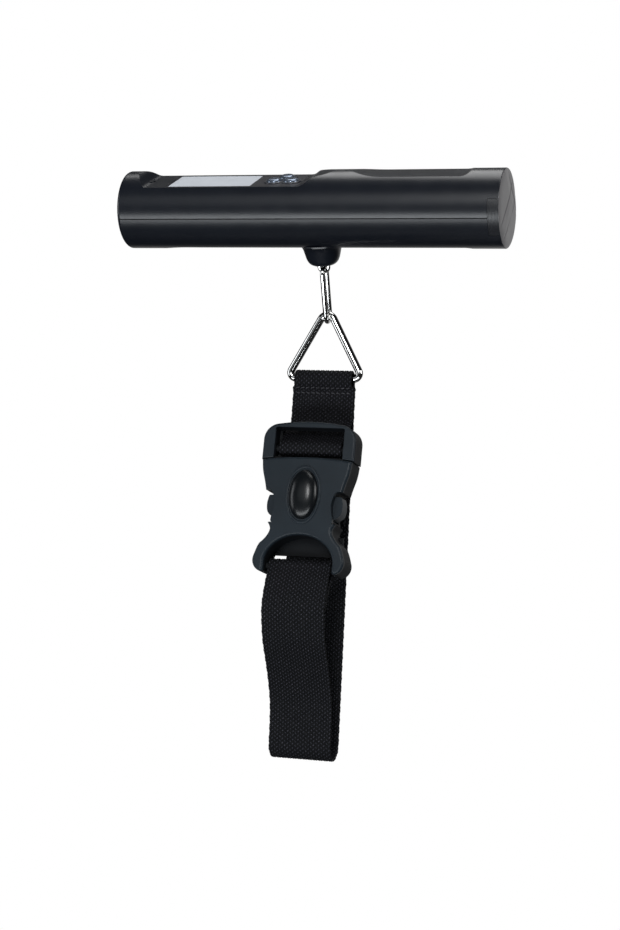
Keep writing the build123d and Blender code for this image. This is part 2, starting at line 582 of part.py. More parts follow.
with BuildPart() as release_arm_right:
    extrude(arm_outline(buckle(-3.1)), amount=6.2)
save(release_arm_right, "release_arm_right")

with BuildPart() as release_arm_left:
    extrude(arm_outline(buckle(-3.1)), amount=6.2)
    mirror(about=Plane.YZ.offset(STRAP_X), mode=Mode.REPLACE)
save(release_arm_left, "release_arm_left")

with BuildPart() as buckle_socket:
    with BuildSketch(buckle(-SOCKET_DEPTH)):
        with BuildLine():
            mouth = ThreePointArc((0, MOUTH_T + MOUTH_RISE), (9.1, MOUTH_T + MOUTH_RISE * 0.745), (18.1, MOUTH_T))
            cheek = Spline(mouth @ 1, (17.5, 9.5), (16.4, 5.6), (15.4, 1.5), (14.4, -9.0),
                           tangents=((-0.1, -1), (0, -1)))
            waist = Spline(cheek @ 1, (12.5, -13.1), (14.9, -17.6), (18.2, -24.0),
                           tangents=((-0.35, -1), (0.3, -1)))
            lobe = TangentArc(waist @ 1, (14.7, -29.9), tangent=waist % 1)
            Polyline(lobe @ 1, (LOBE_X, -29.3), (LOBE_X, ARCH_T), (0, ARCH_T), mouth @ 0)
        make_face()
        mirror(about=Plane.YZ)
        with Locations((0, ARCH_T)):
            Ellipse(LOBE_X, ARCH_RISE, mode=Mode.SUBTRACT)
    extrude(amount=2 * SOCKET_DEPTH)
    round_over(1.0)
    # the cavity, open at the mouth, and the side windows for the thumb tabs
    with BuildSketch(buckle(-CAVITY)):
        with BuildLine():
            Polyline((0, -10.9), (12.4, -10.9), (12.4, 3.0), (14.1, 12.0), (14.1, 17.0), (0, 17.0), close=True)
        make_face()
        mirror(about=Plane.YZ)
    extrude(amount=2 * CAVITY, mode=Mode.SUBTRACT)
    with BuildSketch(buckle(-SOCKET_DEPTH - 1)):
        with BuildLine():
            notch = Spline((22, 1.5), (12.7, 1.3), (11.5, -4.5), (12.4, -10.0), (22, -12.0),
                           tangents=((-1, 0), (1, -0.2)))
            Line(notch @ 1, notch @ 0)
        make_face()
        mirror(about=Plane.YZ)
    extrude(amount=2 * SOCKET_DEPTH + 2, mode=Mode.SUBTRACT)
    # the back plate, which closes the arch down to a slot over the bar
    extrude(plate(buckle(-SOCKET_DEPTH), -LOBE_X - 0.5, LOBE_X + 0.5, BACK_PLATE_T, ARCH_T + ARCH_RISE + 1),
            amount=BACK_PLATE)
    buckle_rod(SOCKET_BAR_T, 0, SOCKET_BAR_R, LOBE_X + 0.5)
save(buckle_socket, "buckle_socket")

with BuildPart() as socket_dome:
    for half_x, half_t, height, edge in ((6.6, 11.0, 0.7, 0.35), (5.6, 9.6, 1.8, 1.05)):
        with BuildSketch(buckle(SOCKET_DEPTH)):
            with Locations((0, 0.5)):
                Ellipse(half_x, half_t)
        extrude(amount=height)
        fillet(faces().sort_by(Axis((0, 0, 0), BUCKLE_OUT))[-1].edges(), edge)
save(socket_dome, "socket_dome")

# ---------------------------------------------------------------- webbing
FOLD_HALF = 2.05  # inner radius of the fold round the ring's bar
FOLD_HALF_W = 11.95  # half the webbing's width there
BAR_GAP = 0.1  # between a buckle bar and the webbing round it
BACK_RUN_Y = 17.6  # inner face of the run behind the buckle
FRONT_RUN_Y = 8.0
FOLD_Y = 17.38
FOLD_Z = -71.5  # where the ring's fold passes into the short run
STRAP_LOW = -214.0
JOINT_Z = -207.5  # where the front run passes into the bottom fold
SEAM = 0.03
strap_plane = Plane.YZ.offset(STRAP_X - WEB_W / 2)
frame_bar = buckle_point(0, FRAME_BAR_T, FRAME_BAR_OUT)
frame_wrap = FRAME_BAR_R + BAR_GAP
socket_bar = buckle_point(0, SOCKET_BAR_T)
socket_wrap = SOCKET_BAR_R + BAR_GAP

with BuildPart() as webbing_back:
    # the path is the webbing's outer face
    run = BACK_RUN_Y + WEB_T
    rise = FRONT_RUN_Y - WEB_T
    fold_start = FOLD_Y - WEB_T
    fold_front = RING_Y - FOLD_HALF - WEB_T
    fold_back = RING_Y + FOLD_HALF + WEB_T
    fold_top = RING_BAR + FOLD_HALF + WEB_T
    low_r = (run - rise) / 2
    with BuildSketch(strap_plane):
        with BuildLine():
            FilletPolyline((fold_start, FOLD_Z), (fold_start, -69.4), (fold_front, -66.7), (fold_front, RING_BAR),
                           radius=[1.5, 2.8])
            ThreePointArc((fold_front, RING_BAR), (RING_Y, fold_top), (fold_back, RING_BAR))
            FilletPolyline((fold_back, RING_BAR), (fold_back, -66.7), (run, -69.9), (run, STRAP_LOW + low_r),
                           radius=[2.8, 1.5])
            ThreePointArc((run, STRAP_LOW + low_r), (rise + low_r, STRAP_LOW), (rise, STRAP_LOW + low_r))
            Line((rise, STRAP_LOW + low_r), (rise, JOINT_Z))
            offset(amount=WEB_T, side=Side.RIGHT)
        make_face()
    extrude(amount=WEB_W)
    # the fold is drawn in where the ring's legs press on it
    with BuildSketch(Plane.XZ.offset(-RING_Y)):
        with BuildLine():
            Polyline((STRAP_X + WEB_W / 2 + 1, -68.7), (STRAP_X + WEB_W / 2, -68.7),
                     (STRAP_X + FOLD_HALF_W, -67.2), (STRAP_X + FOLD_HALF_W, fold_top + 0.1),
                     (STRAP_X + WEB_W / 2 + 1, fold_top + 0.1), close=True)
        make_face()
        mirror(about=Plane.YZ.offset(STRAP_X))
    extrude(amount=FOLD_HALF * 2, both=True, mode=Mode.SUBTRACT)
save(webbing_back, "webbing_back")

with BuildPart() as webbing_short:
    front = frame_bar.Y - frame_wrap
    under = frame_bar.Z - frame_wrap
    bend = (16.65, -82.5)
    with BuildSketch(strap_plane):
        with BuildLine():
            FilletPolyline((FOLD_Y, FOLD_Z - 4 * SEAM), bend, (front, frame_bar.Z + 0.93 * frame_wrap),
                           (front, under), (12.85, under), (13.2, -122.0),
                           radius=[3.0, frame_wrap - 0.03, frame_wrap - 0.03, 2.0])
            offset(amount=WEB_T, side=Side.RIGHT)
        make_face()
    extrude(amount=WEB_W)
save(webbing_short, "webbing_short")


def webbing_outline(path, steps):
    """Side view of webbing whose middle follows this line of (y, z) points."""
    faces_at = {1: [], -1: []}
    for step in range(steps + 1):
        at = path @ (step / steps)
        along = path % (step / steps)
        for way, points in faces_at.items():
            points.append(at + Vector(-along.Y, along.X) * (way * WEB_T / 2))
    with BuildSketch(strap_plane) as sketch:
        with BuildLine():
            one = Spline(*faces_at[1])
            other = Spline(*reversed(faces_at[-1]))
            Line(one @ 1, other @ 0)
            Line(other @ 1, one @ 0)
        make_face()
    return sketch.sketch


with BuildPart() as webbing_socket_end:
    reach = socket_wrap + WEB_T / 2
    front = socket_bar.Y - reach
    back = socket_bar.Y + reach
    over = socket_bar.Z + reach
    with BuildLine(Plane.XY) as wrap:
        turn = FilletPolyline((front, socket_bar.Z), (front, over), (back, over), (back, socket_bar.Z - 0.6),
                              radius=reach - 0.01)
        Spline(turn @ 1, (-1.34, -143.5), (-4.48, -147.3), (-6.4, -150.9), (-7.25, -154.9),
               tangents=(turn % 1, (-0.1, -1)))
    extrude(webbing_outline(wrap.wire(), 48), amount=WEB_W)
save(webbing_socket_end, "webbing_socket_end")

with BuildPart() as webbing_front_run:
    with BuildLine(Plane.XY) as hang:
        Spline((front, socket_bar.Z - SEAM), (-6.61, -145.3), (-8.86, -151.1), (-9.35, -157.0), (-6.4, -167.3),
               (-1.44, -175.7), (2.99, -183.7), (6.22, -191.8), (7.25, -200.0),
               (FRONT_RUN_Y - WEB_T / 2, JOINT_Z + SEAM), tangents=((0, -1), (0, -1)))
    extrude(webbing_outline(hang.wire(), 30), amount=WEB_W)
save(webbing_front_run, "webbing_front_run")
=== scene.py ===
import math

import bpy
import numpy as np
from mathutils import Matrix, Vector


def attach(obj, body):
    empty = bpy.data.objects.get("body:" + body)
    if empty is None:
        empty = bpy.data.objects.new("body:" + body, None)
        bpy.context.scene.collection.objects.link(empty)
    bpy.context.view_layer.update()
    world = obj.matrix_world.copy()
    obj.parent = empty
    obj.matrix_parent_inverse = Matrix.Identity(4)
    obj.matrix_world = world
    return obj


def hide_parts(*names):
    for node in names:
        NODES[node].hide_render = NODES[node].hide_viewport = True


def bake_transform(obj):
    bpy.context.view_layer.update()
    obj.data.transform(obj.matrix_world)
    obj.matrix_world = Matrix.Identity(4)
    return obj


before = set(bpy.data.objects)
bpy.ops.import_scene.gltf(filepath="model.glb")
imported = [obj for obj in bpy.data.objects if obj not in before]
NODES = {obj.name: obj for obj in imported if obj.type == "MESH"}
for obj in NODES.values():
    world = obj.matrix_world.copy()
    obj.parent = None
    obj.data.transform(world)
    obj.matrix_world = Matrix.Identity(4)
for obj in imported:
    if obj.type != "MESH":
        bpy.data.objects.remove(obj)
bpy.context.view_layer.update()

# Pieces are laid out in millimetres and scaled by MM; the camera, lights and floor are in metres.
# +Z is up, the handle lies along X and the front is -Y.
MM = 0.001
ROLL = math.radians(24.0)  # the display leans this far towards the front
FACE = Vector((0, -math.sin(ROLL), math.cos(ROLL)))  # out of the display
BACK = Vector((0, math.cos(ROLL), math.sin(ROLL)))  # towards the handle's back, across the display
STRAP_X = 2.4  # middle of the strap and the buckle
WEB_W = 25.4
WEB_T = 1.3
TILT = math.radians(8.6)  # the buckle's top leans back by this
BUCKLE_UP = Vector((0, math.sin(TILT), math.cos(TILT)))
BUCKLE_OUT = Vector((0, -math.cos(TILT), math.sin(TILT)))  # out of the buckle's face
BUCKLE_MID = Vector((STRAP_X, 2.8, -112.5))


# ---------------------------------------------------------------- camera
CAMERA_PLACE = Vector((0.24203, -0.75082, -0.13047))
CAMERA_AZIMUTH, CAMERA_ELEVATION, CAMERA_ROLL = 17.62, -2.25, 2.75
LENS = 79.04
SENSOR = 36.0


def aim(obj, place, azimuth, elevation, roll):
    """Place an object so that its +Z points back along an azimuth and elevation, in degrees."""
    a, e, r = (math.radians(x) for x in (azimuth, elevation, roll))
    back = Vector((math.sin(a) * math.cos(e), -math.cos(a) * math.cos(e), math.sin(e)))
    right = Vector((math.cos(a), math.sin(a), 0))
    up = back.cross(right)
    turned_right = right * math.cos(r) + up * math.sin(r)
    turned_up = up * math.cos(r) - right * math.sin(r)
    axes = Matrix((turned_right, turned_up, back)).transposed().to_4x4()
    obj.matrix_world = Matrix.Translation(place) @ axes


camera_data = bpy.data.cameras.new("camera")
camera = bpy.data.objects.new("camera", camera_data)
bpy.context.scene.collection.objects.link(camera)
bpy.context.scene.camera = camera
camera_data.sensor_width = SENSOR
camera_data.lens = LENS
camera_data.clip_start = 0.01
camera_data.clip_end = 20.0
aim(camera, CAMERA_PLACE, CAMERA_AZIMUTH, CAMERA_ELEVATION, CAMERA_ROLL)


# ---------------------------------------------------------------- node helpers
PATCH_RANGE = (0.3, 0.7)  # the part of a noise's values spread over the full effect


class Shader:
    """A Principled material of a few procedural layers in object coordinates, in metres."""

    def __init__(self, name, color, roughness, metallic=0.0, specular=0.5):
        self.material = bpy.data.materials.new(name)
        self.material.use_nodes = True
        self.tree = self.material.node_tree
        self.tree.nodes.clear()
        self.out = self.node("ShaderNodeOutputMaterial")
        self.bsdf = self.node("ShaderNodeBsdfPrincipled")
        self.link(self.bsdf.outputs[0], self.out.inputs["Surface"])
        self.bsdf.inputs["Base Color"].default_value = (*color, 1)
        self.bsdf.inputs["Roughness"].default_value = roughness
        self.bsdf.inputs["Metallic"].default_value = metallic
        self.bsdf.inputs["Specular IOR Level"].default_value = specular
        self.color = color
        self.roughness = roughness
        self.coords = self.node("ShaderNodeTexCoord").outputs["Object"]

    def node(self, kind, **values):
        made = self.tree.nodes.new(kind)
        for key, value in values.items():
            setattr(made, key, value)
        return made

    def link(self, a, b):
        self.tree.links.new(a, b)

    def math(self, operation, a, b):
        made = self.node("ShaderNodeMath", operation=operation)
        for i, value in enumerate((a, b)):
            if isinstance(value, (int, float)):
                made.inputs[i].default_value = value
            else:
                self.link(value, made.inputs[i])
        return made.outputs[0]

    def noise(self, scale, detail=2.0, rough=0.5, vector=None):
        made = self.node("ShaderNodeTexNoise")
        made.inputs["Scale"].default_value = scale
        made.inputs["Detail"].default_value = detail
        made.inputs["Roughness"].default_value = rough
        self.link(vector or self.coords, made.inputs["Vector"])
        return made.outputs["Fac"]

    def ramp(self, factor, low, high, start, end):
        """Start below low and end above high, with a smooth change between."""
        made = self.node("ShaderNodeMapRange", interpolation_type="SMOOTHSTEP")
        made.inputs["From Min"].default_value = low
        made.inputs["From Max"].default_value = high
        made.inputs["To Min"].default_value = start
        made.inputs["To Max"].default_value = end
        self.link(factor, made.inputs["Value"])
        return made.outputs[0]

    def mix(self, factor, a, b):
        made = self.node("ShaderNodeMix", data_type="RGBA")
        self.link(factor, made.inputs["Factor"])
        for value, socket in ((a, made.inputs[6]), (b, made.inputs[7])):
            if isinstance(value, tuple):
                socket.default_value = (*value, 1)
            else:
                self.link(value, socket)
        return made.outputs[2]

    def vary(self, amount, scale):
        """Colour a little lighter and darker in patches."""
        dark = tuple(c * (1 - amount) for c in self.color)
        light = tuple(c * (1 + amount) for c in self.color)
        patches = self.ramp(self.noise(scale, 4), *PATCH_RANGE, 0, 1)
        self.link(self.mix(patches, dark, light), self.bsdf.inputs["Base Color"])

    def vary_roughness(self, amount, scale):
        """Roughness a little higher and lower in patches."""
        low, high = self.roughness - amount, self.roughness + amount
        value = self.ramp(self.noise(scale, 3), *PATCH_RANGE, low, high)
        self.link(value, self.bsdf.inputs["Roughness"])

    def fade(self, share, socket, value):
        """Replace what is linked to a socket by a fixed value where share is 1."""
        target = self.bsdf.inputs[socket]
        before = target.links[0].from_socket
        if isinstance(value, tuple):
            self.link(self.mix(share, before, value), target)
            return
        made = self.node("ShaderNodeMix", data_type="FLOAT")
        self.link(share, made.inputs[0])
        self.link(before, made.inputs[2])
        made.inputs[3].default_value = value
        self.link(made.outputs[0], target)

    def bump(self, height, strength, distance):
        """Fine relief, added to any relief that is already there."""
        made = self.node("ShaderNodeBump")
        made.inputs["Strength"].default_value = strength
        made.inputs["Distance"].default_value = distance
        self.link(height, made.inputs["Height"])
        if self.bsdf.inputs["Normal"].is_linked:
            self.link(self.bsdf.inputs["Normal"].links[0].from_socket, made.inputs["Normal"])
        self.link(made.outputs[0], self.bsdf.inputs["Normal"])

    def axis_value(self, direction, offset=0.0):
        """Distance along a direction from the origin, in metres."""
        made = self.node("ShaderNodeVectorMath", operation="DOT_PRODUCT")
        self.link(self.coords, made.inputs[0])
        made.inputs[1].default_value = direction
        return self.math("ADD", made.outputs["Value"], offset)


def moulded(name, color, roughness, grain=0.00004, patch=0.05, specular=0.5):
    """Injection-moulded plastic with a fine spark-eroded grain."""
    shader = Shader(name, color, roughness, specular=specular)
    shader.vary(patch, 60.0)
    shader.vary_roughness(0.015, 140.0)
    shader.bump(shader.noise(2600.0, 2, 0.6), 0.16, grain)
    return shader


def plated(name, color, roughness):
    """Bare or plated metal with a faint waviness."""
    shader = Shader(name, color, roughness, metallic=1.0)
    shader.vary(0.05, 90.0)
    shader.vary_roughness(0.03, 260.0)
    shader.bump(shader.noise(160.0, 2, 0.5), 0.2, 0.00002)
    return shader


# ---------------------------------------------------------------- materials of the CAD nodes
def band(shader, value, low, high, ease):
    """1 between low and high, in metres, easing over the given width on each side."""
    return shader.math("MULTIPLY", shader.ramp(value, low - ease, low + ease, 0, 1),
                       shader.ramp(value, high - ease, high + ease, 1, 0))


casing = moulded("casing", (0.0050, 0.0066, 0.0105), 0.3)
# the parting line between the halves is a dark hairline gap
GAP_HALF = 0.2 * MM
gap = band(casing, casing.axis_value(tuple(FACE)), -GAP_HALF, GAP_HALF, 0.08 * MM)
casing.fade(gap, "Roughness", 1.0)
casing.fade(gap, "Base Color", (0.0008, 0.0010, 0.0014))
panel = moulded("panel", (0.022, 0.022, 0.027), 0.36, patch=0.06, specular=0.25)
bezel = moulded("bezel", (0.030, 0.033, 0.042), 0.3)
SLATE = (0.0115, 0.0165, 0.0215)
buckle_plastic = moulded("buckle_plastic", SLATE, 0.36, patch=0.12, specular=0.18)
arm_plastic = moulded("arm_plastic", SLATE, 0.4, patch=0.12, specular=0.15)
# painted shade: the buckle's side walls and inside are painted darker and rougher than its face, as if in
# shade, fully from 3 mm out and fading to none at 5.6 mm; its face is 6 mm out from its middle
WALL_SHADE_FULL, WALL_SHADE_NONE = 3.0 * MM, 5.6 * MM
depth = buckle_plastic.axis_value(tuple(BUCKLE_OUT), -BUCKLE_MID.dot(BUCKLE_OUT) * MM)
painted_wall_shade = buckle_plastic.ramp(depth, WALL_SHADE_FULL, WALL_SHADE_NONE, 1, 0)
# painted shade colour on the walls and inside behind the face
buckle_plastic.fade(painted_wall_shade, "Base Color", (0.0025, 0.0034, 0.0048))
buckle_plastic.fade(painted_wall_shade, "Roughness", 0.62)
dome_plastic = moulded("dome_plastic", (0.0035, 0.0045, 0.0055), 0.25, grain=0.00001, specular=0.32)
cap_plastic = moulded("cap_plastic", (0.010, 0.011, 0.014), 0.36, patch=0.06)
cap_end = moulded("cap_end", (0.15, 0.146, 0.151), 0.36, patch=0.06, specular=0.9)
tray_plastic = moulded("tray_plastic", (0.012, 0.012, 0.013), 0.5)
rubber = moulded("rubber", (0.05, 0.05, 0.053), 0.7)
switch_plastic = moulded("switch_plastic", (0.010, 0.010, 0.011), 0.5)
film = moulded("film", (0.45, 0.24, 0.05), 0.35)
chrome = plated("chrome", (0.72, 0.72, 0.71), 0.07)
steel = plated("steel", (0.42, 0.42, 0.43), 0.3)
nickel = plated("nickel", (0.62, 0.61, 0.58), 0.2)
aluminium = plated("aluminium", (0.55, 0.56, 0.57), 0.34)

keys = Shader("keys", (0.17, 0.205, 0.265), 0.24, metallic=0.75)
keys.vary(0.08, 300.0)
keys.vary_roughness(0.04, 500.0)
keys.bump(keys.noise(2400.0, 2), 0.2, 0.00002)

board = Shader("board", (0.012, 0.085, 0.028), 0.35)
board.vary(0.2, 220.0)
board.bump(board.noise(900.0, 3), 0.4, 0.00005)

# the printed sleeve of a cell: dark with a coloured band at one end
sleeve = Shader("sleeve", (0.012, 0.012, 0.015), 0.28, metallic=0.3)
printed = band(sleeve, sleeve.axis_value((1, 0, 0)), 52 * MM, 66 * MM, 0.2 * MM)
sleeve.link(sleeve.mix(printed, sleeve.color, (0.33, 0.15, 0.035)), sleeve.bsdf.inputs["Base Color"])
sleeve.vary_roughness(0.04, 300.0)

# silver-grey reflective display, switched off
lcd = Shader("lcd", (0.66, 0.70, 0.75), 0.32)
lcd.vary(0.03, 40.0)
lcd.vary_roughness(0.04, 300.0)
lcd.bump(lcd.noise(4000.0, 1), 0.15, 0.00001)

# the window is bonded to the display, so it shows the same silver-grey
lens = Shader("lens", (0.70, 0.74, 0.80), 0.18)
lens.vary(0.02, 60.0)
lens.vary_roughness(0.03, 200.0)
lens.bump(lens.noise(900.0, 1), 0.1, 0.00001)

FINISH = {
    casing: ("upper_casing", "lower_casing"),
    panel: ("display_panel",),
    bezel: ("button_bezel",),
    keys: ("power_button", "unit_button", "tare_button"),
    lcd: ("lcd_module",),
    lens: ("display_lens",),
    rubber: ("lcd_connectors", "button_pad"),
    switch_plastic: ("tact_switches", "controller_chip"),
    board: ("circuit_board",),
    steel: ("board_screws", "casing_screws", "load_cell_screws", "eye_washer", "eye_nut"),
    nickel: ("battery_contacts", "contact_bridge"),
    aluminium: ("load_cell",),
    film: ("strain_gauges",),
    chrome: ("hanging_eye", "hanging_link", "triangle_ring"),
    cap_plastic: ("battery_cap",),
    tray_plastic: ("battery_tray", "contact_carrier"),
    sleeve: ("battery_cell_front", "battery_cell_back"),
    buckle_plastic: ("buckle_frame", "buckle_socket"),
    arm_plastic: ("release_arm_left", "release_arm_right"),
    dome_plastic: ("socket_dome",),
}
for shader, names in FINISH.items():
    for name in names:
        NODES[name].data.materials.clear()
        NODES[name].data.materials.append(shader.material)


# ---------------------------------------------------------------- webbing
ARC_STEPS = 12


def rounded(points, radii):
    """Corners of a (y, z) line replaced by arcs, as closely spaced points."""
    line = [np.array(points[0], float)]
    for before, corner, after, radius in zip(points, points[1:], points[2:], radii):
        before, corner, after = (np.array(p, float) for p in (before, corner, after))
        to_before = (before - corner) / np.linalg.norm(before - corner)
        to_after = (after - corner) / np.linalg.norm(after - corner)
        half = math.acos(max(-1.0, min(1.0, float(to_before @ to_after)))) / 2
        inward = (to_before + to_after) / np.linalg.norm(to_before + to_after)
        centre = corner + inward * radius / math.sin(half)
        start = corner + to_before * radius / math.tan(half) - centre
        end = corner + to_after * radius / math.tan(half) - centre
        sweep = math.atan2(start[0] * end[1] - start[1] * end[0], float(start @ end))
        for step in range(ARC_STEPS + 1):
            turn = sweep * step / ARC_STEPS
            line.append(centre + np.array([start[0] * math.cos(turn) - start[1] * math.sin(turn),
                                           start[0] * math.sin(turn) + start[1] * math.cos(turn)]))
    line.append(np.array(points[-1], float))
    return line


def flowing(points, steps=16):
    """A smooth (y, z) line through the points."""
    p = [np.array(q, float) for q in points]
    p = [2 * p[0] - p[1], *p, 2 * p[-1] - p[-2]]
    line = []
    for a, b, c, d in zip(p, p[1:], p[2:], p[3:]):
        for step in range(steps):
            t = step / steps
            line.append(0.5 * (2 * b + (c - a) * t + (2 * a - 5 * b + 4 * c - d) * t**2
                               + (3 * b - a - 3 * c + d) * t**3))
    line.append(p[-2])
    return line


# (y, z) of the bars that the webbing turns round, and the radii of its middle there
RING_BAR_Z = -64.4
FOLD_R = 2.7
FRAME_BAR_Y, FRAME_BAR_Z = 5.177, -93.44
SOCKET_BAR_Y, SOCKET_BAR_Z = -1.223, -139.10
BAR_R = 2.35
TURN_R = BAR_R - 0.01  # just under half the run's width, so that two corners make one turn
FOLD_TURN_R = FOLD_R - 0.01

BACK_Y = 18.25  # the back run
SHORT_Y = 16.73  # the short run where it meets the back one
FOLD_FRONT_Y, FOLD_BACK_Y = 14.766, 20.166
SPLIT_Z = -203.0  # the two strips meet on the back run
BOTTOM_Z = -213.35
FRONT_END = (7.35, -207.9)  # the foot of the front run
frame_front, socket_front, socket_back = FRAME_BAR_Y - BAR_R, SOCKET_BAR_Y - BAR_R, SOCKET_BAR_Y + BAR_R

short_run = rounded([(12.55, -122.0), (12.2, FRAME_BAR_Z - BAR_R), (frame_front, FRAME_BAR_Z - BAR_R),
                     (frame_front, FRAME_BAR_Z + 0.813 * BAR_R), (16.0, -82.16), (SHORT_Y, -71.5)],
                    [1.4, TURN_R, TURN_R, 2.4])
fold = rounded([(SHORT_Y, -71.5), (SHORT_Y, -69.19), (FOLD_FRONT_Y, -66.487),
                (FOLD_FRONT_Y, RING_BAR_Z + FOLD_R), (FOLD_BACK_Y, RING_BAR_Z + FOLD_R),
                (FOLD_BACK_Y, -66.52), (BACK_Y, -69.72), (BACK_Y, SPLIT_Z)],
               [2.0, 2.1, FOLD_TURN_R, FOLD_TURN_R, 2.1, 2.1])
upper_line = short_run + fold[1:]
front_run = flowing([FRONT_END, (7.25, -200.0), (6.22, -191.8), (2.99, -183.7), (-1.44, -175.7),
                     (-6.4, -167.3), (-9.35, -157.0), (-8.86, -151.1), (-6.61, -145.3),
                     (socket_front, SOCKET_BAR_Z)])
bottom = rounded([(BACK_Y, SPLIT_Z), (BACK_Y, BOTTOM_Z), (FRONT_END[0], BOTTOM_Z), FRONT_END], [5.44, 5.44])
socket_wrap = rounded([(socket_front, SOCKET_BAR_Z), (socket_front, SOCKET_BAR_Z + BAR_R),
                       (socket_back, SOCKET_BAR_Z + BAR_R), (socket_back, SOCKET_BAR_Z - 0.6)],
                      [TURN_R, TURN_R])
socket_tail = flowing([(socket_back, SOCKET_BAR_Z - 0.6), (-1.34, -143.5), (-4.48, -147.3),
                       (-6.4, -150.9), (-7.25, -154.9)])
lower_line = bottom + front_run[1:] + socket_wrap[1:] + socket_tail[1:]

COLUMN = 1.06  # pitch of the warp columns across the webbing, mm
ROW = 1.6  # pitch of the weft rows along it, mm
RELIEF = 0.15  # depth of the weave, mm
SCALLOP = 4.1  # pitch of the wavy selvage, mm
STEP = 0.24  # pitch of the mesh along the webbing, mm
SIDE_COUNT = 98  # faces across one side of it
EDGE_ROUND = 0.8  # width of the rounded edge, mm


def resample(line, pitch):
    """The line at even steps, and how far along it each point is."""
    line = np.array(line)
    lengths = np.concatenate([[0], np.cumsum(np.linalg.norm(np.diff(line, axis=0), axis=1))])
    keep = np.concatenate([[True], np.diff(lengths) > 1e-6])
    line, lengths = line[keep], lengths[keep]
    count = max(2, int(round(lengths[-1] / pitch)))
    at = np.linspace(0, lengths[-1], count + 1)
    return np.stack([np.interp(at, lengths, line[:, i]) for i in (0, 1)], axis=1), at


def weave(across, along):
    """Height of the weave from -1 to 1, with neighbouring columns slanted opposite ways."""
    column = np.floor(across / COLUMN)
    inside = across / COLUMN - column - 0.5
    slant = np.where(column % 2 == 0, 0.55, -0.55)
    phase = along / ROW + slant * inside + 0.5 * (column % 2)
    float_yarn = np.cos(2 * np.pi * phase)
    return (0.55 + 0.45 * float_yarn) * (1 - np.abs(2 * inside) ** 3) * 2 - 1


def webbing(name, line, along_start, narrow=None):
    """A closed strip of woven webbing whose middle follows the (y, z) line in millimetres."""
    centre, at = resample(line, STEP)
    tangent = np.gradient(centre, axis=0)
    tangent /= np.linalg.norm(tangent, axis=1)[:, None]
    for _ in range(4):
        tangent[1:-1] = (tangent[:-2] + 2 * tangent[1:-1] + tangent[2:]) / 4
    tangent /= np.linalg.norm(tangent, axis=1)[:, None]
    normal = np.stack([-tangent[:, 1], tangent[:, 0]], axis=1)
    across = np.linspace(-WEB_W / 2, WEB_W / 2, SIDE_COUNT + 1)
    edge = np.clip((WEB_W / 2 - np.abs(across)) / EDGE_ROUND, 0, 1)
    half = WEB_T / 2 * (0.35 + 0.65 * np.sqrt(1 - (1 - edge) ** 2))
    loop_across = np.concatenate([across, across[::-1]])
    loop_half = np.concatenate([half, -half[::-1]])
    u, v = np.meshgrid(loop_across, at + along_start)
    height = weave(u, v)
    strength = np.clip((WEB_W / 2 - np.abs(u)) / 0.5, 0.2, 1)
    offset = loop_half[None, :] + np.sign(loop_half)[None, :] * (height - 1) * RELIEF * strength
    picks = 0.6 * np.cos(2 * np.pi * v / SCALLOP) + 0.4 * np.cos(2 * np.pi * v / ROW + np.sign(u))
    scallop = 1 - 0.010 * (1 + picks) * (np.abs(u) / (WEB_W / 2)) ** 14
    width = np.ones(len(at)) if narrow is None else narrow(centre)
    x = STRAP_X + u * scallop * width[:, None]
    y = centre[:, 0:1] + normal[:, 0:1] * offset
    z = centre[:, 1:2] + normal[:, 1:2] * offset
    points = np.stack([x, y, z], axis=2).reshape(-1, 3) * MM
    around, rows = len(loop_across), len(at)
    i, j = np.meshgrid(np.arange(rows - 1), np.arange(around), indexing="ij")
    k = (j + 1) % around
    quads = np.stack([i * around + j, i * around + k, (i + 1) * around + k, (i + 1) * around + j], axis=2)
    quads = quads.reshape(-1, 4)
    caps = []
    for row in (0, rows - 1):
        first, last = row * around, (row + 1) * around - 1
        for c in range(SIDE_COUNT):
            quad = [first + c, first + c + 1, last - 1 - c, last - c]
            caps.append(quad[::-1] if row == 0 else quad)
    quads = np.concatenate([quads, np.array(caps)])
    mesh = bpy.data.meshes.new(name)
    mesh.from_pydata(points.tolist(), [], quads.tolist())
    for key, values in (("weave", height), ("across", u), ("along", v)):
        attribute = mesh.attributes.new(key, "FLOAT", "POINT")
        attribute.data.foreach_set("value", values.astype(np.float32).ravel())
    mesh.polygons.foreach_set("use_smooth", [True] * len(mesh.polygons))
    mesh.update()
    piece = bpy.data.objects.new(name, mesh)
    bpy.context.scene.collection.objects.link(piece)
    return piece, at[-1]


FOLD_START_Z = -68.6
FOLD_EASE = 1.6
FOLD_HALF_W = 11.9  # half the webbing's width inside the ring


def at_fold(centre):
    """The webbing draws in where the ring's legs press on the fold."""
    near = np.clip((centre[:, 1] - FOLD_START_Z) / FOLD_EASE, 0, 1)
    return 1 - (1 - FOLD_HALF_W / (WEB_W / 2)) * near * near * (3 - 2 * near)


# painted shade: the gaps between the yarn crests are painted far darker than the crests, as shade in the
# weave's hollows, and some crests carry pale flecks
YARN_GAP_SHADE, YARN_CREST, YARN_FLECK = (0.0016, 0.0018, 0.0026), (0.030, 0.031, 0.040), (0.085, 0.078, 0.096)
web = Shader("webbing", YARN_CREST, 0.7, specular=0.12)
height = web.node("ShaderNodeAttribute", attribute_name="weave").outputs["Fac"]
across = web.node("ShaderNodeAttribute", attribute_name="across").outputs["Fac"]
along = web.node("ShaderNodeAttribute", attribute_name="along").outputs["Fac"]
place = web.node("ShaderNodeCombineXYZ")
web.link(across, place.inputs[0])
web.link(along, place.inputs[1])
speck = web.ramp(web.noise(1.15, 3, 0.7, place.outputs[0]), 0.5, 0.74, 0, 1)
crest = web.ramp(height, 0.25, 0.98, 0, 1)
